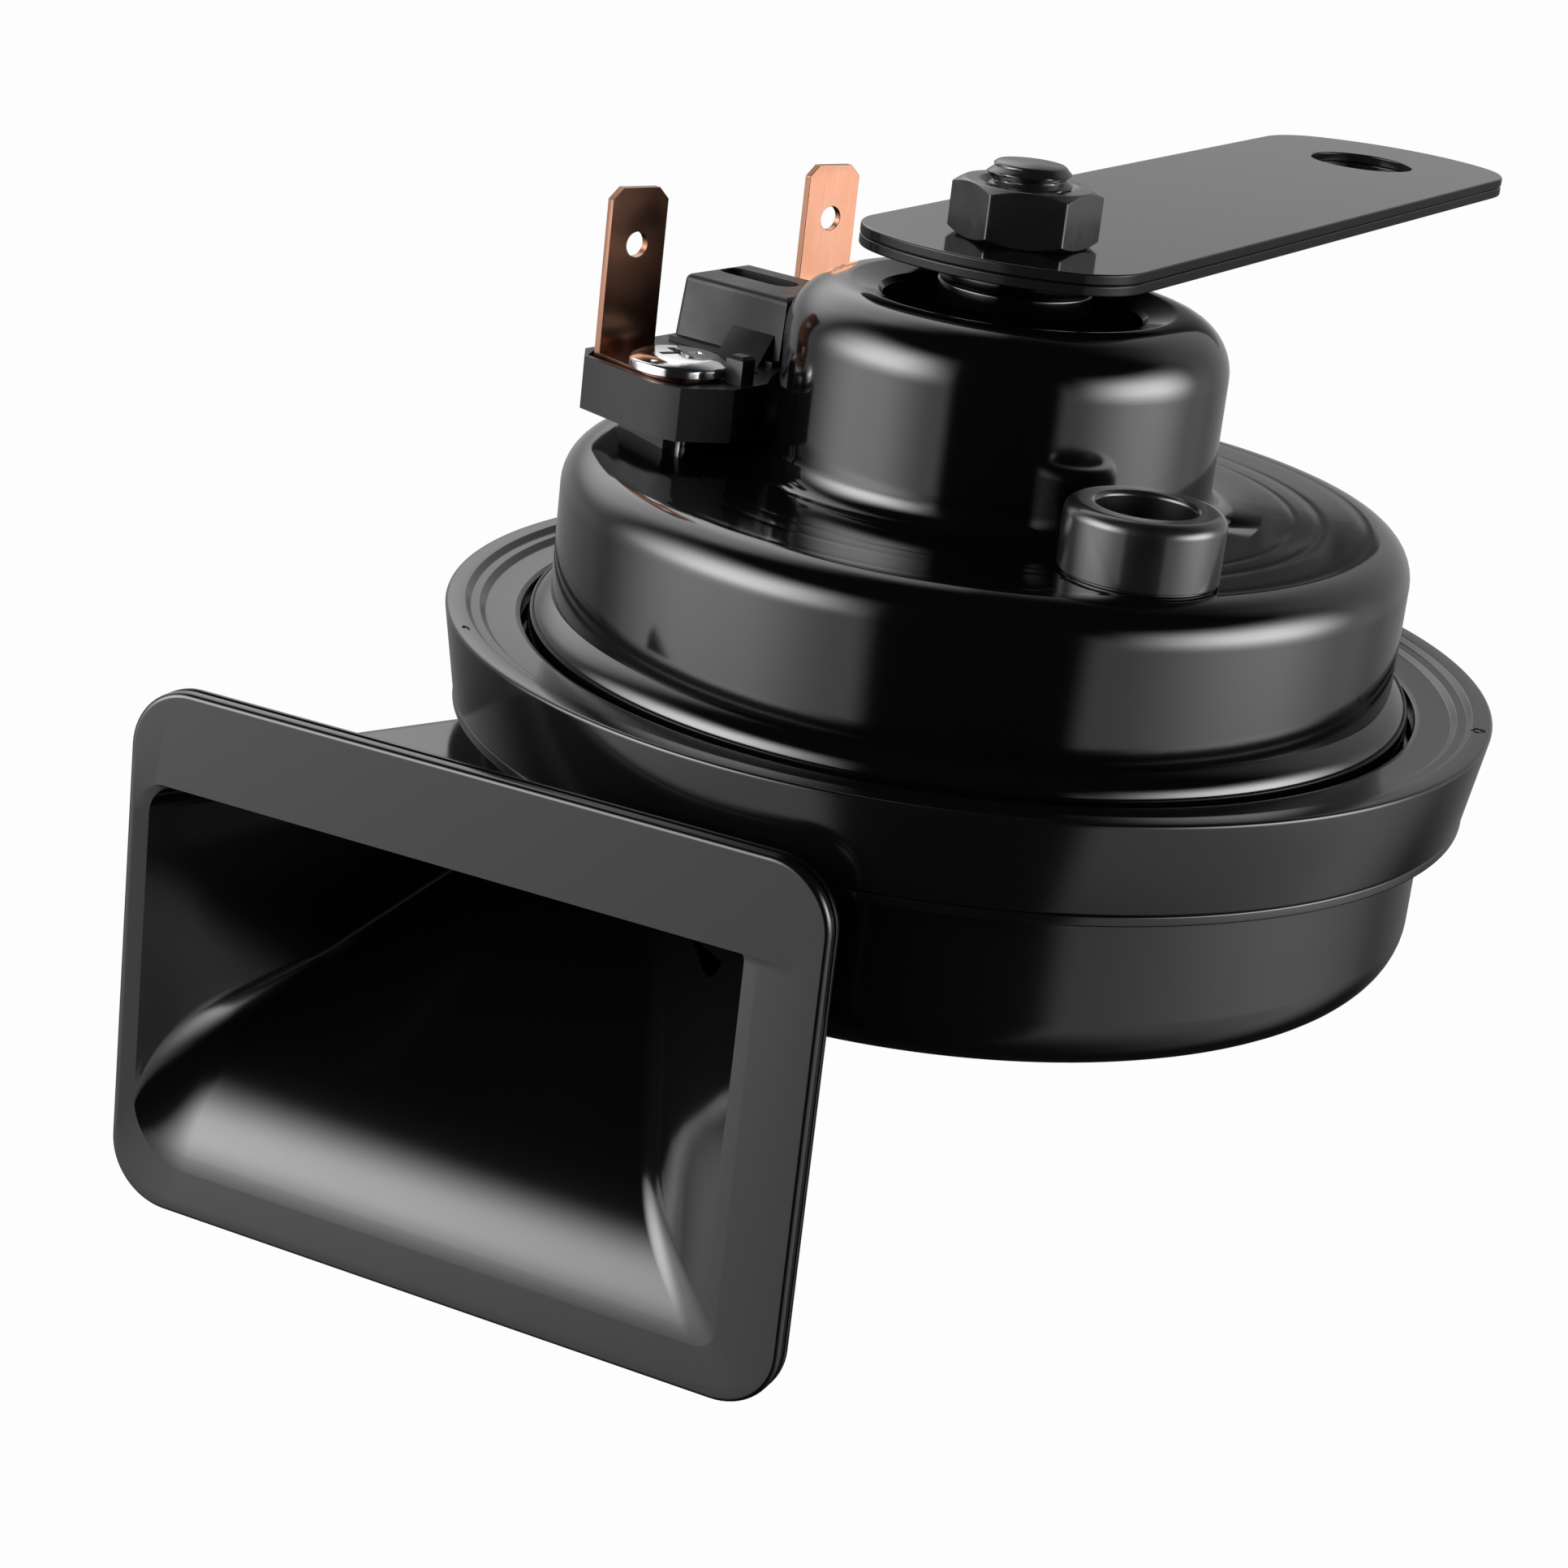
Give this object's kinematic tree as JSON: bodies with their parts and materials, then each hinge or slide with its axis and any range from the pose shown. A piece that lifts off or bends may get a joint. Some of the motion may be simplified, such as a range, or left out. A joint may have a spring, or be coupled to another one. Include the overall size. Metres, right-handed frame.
{
  "type": "car horn",
  "caption": "Twelve-volt disc horn with a two-tier pressed case, a moulded snail trumpet with a flared rectangular mouth, blade terminals and a spring leaf bracket.",
  "frame": {"origin": "centre of the bracket's bolt hole, on the underside of the lower leaf", "axes": "+Z along the bolt hole and the horn's own axis, towards the stud; the mouth faces -Y; +X to the right seen from the mouth"},
  "size_m": [0.1066, 0.1492, 0.1005],
  "materials": {
    "case_enamel": "gloss",
    "bracket_enamel": "gloss",
    "trumpet_plastic": "satin",
    "block_plastic": "matt",
    "bobbin_plastic": "matt",
    "insulating_board": "matt",
    "gasket_rubber": "matt",
    "copper": "bright",
    "contact_metal": "bright",
    "screw_chrome": "polished",
    "black_steel": "satin",
    "plain_steel": "zinc plated",
    "spring_steel": "blued"
  },
  "bodies": {
    "root": {"case": "case_enamel", "clamp_ring": "plain_steel", "trumpet_cover": "trumpet_plastic", "trumpet_shell": "trumpet_plastic", "throat_plate": "trumpet_plastic", "diaphragm_gasket_upper": "gasket_rubber", "diaphragm": "spring_steel", "diaphragm_gasket_lower": "gasket_rubber", "fixed_core": "black_steel", "coil_bobbin": "bobbin_plastic", "coil_winding": "copper", "adjusting_screw": "plain_steel", "adjuster_bush": "plain_steel", "adjuster_collar": "block_plastic", "breaker_base": "insulating_board", "breaker_insulator": "insulating_board", "breaker_clamp_plate": "plain_steel", "breaker_rivets": "plain_steel", "fixed_contact_arm": "spring_steel", "fixed_contact": "contact_metal", "moving_contact": "contact_metal", "moving_contact_spring": "spring_steel", "terminal_block": "block_plastic", "terminal_gasket": "gasket_rubber", "blade_terminal_left": "copper", "blade_terminal_right": "copper", "terminal_screws": "screw_chrome", "terminal_insulators": "insulating_board", "terminal_nuts": "plain_steel", "stud_washer_lower": "black_steel", "stud_washer_upper": "black_steel", "bracket_lower_leaf": "bracket_enamel", "bracket_upper_leaf": "bracket_enamel", "hex_nut": "black_steel"},
    "armature": {"armature": "plain_steel", "armature_rivet": "plain_steel"}
  },
  "joints": [
    {"name": "armature_stroke", "type": "slide", "parent": "root", "child": "armature", "axis": [0, 0, 1], "range_m": [-0.0003, 0.0005], "stiffness_N_per_m": 8000, "deforming": ["diaphragm", "moving_contact_spring"]}
  ]
}
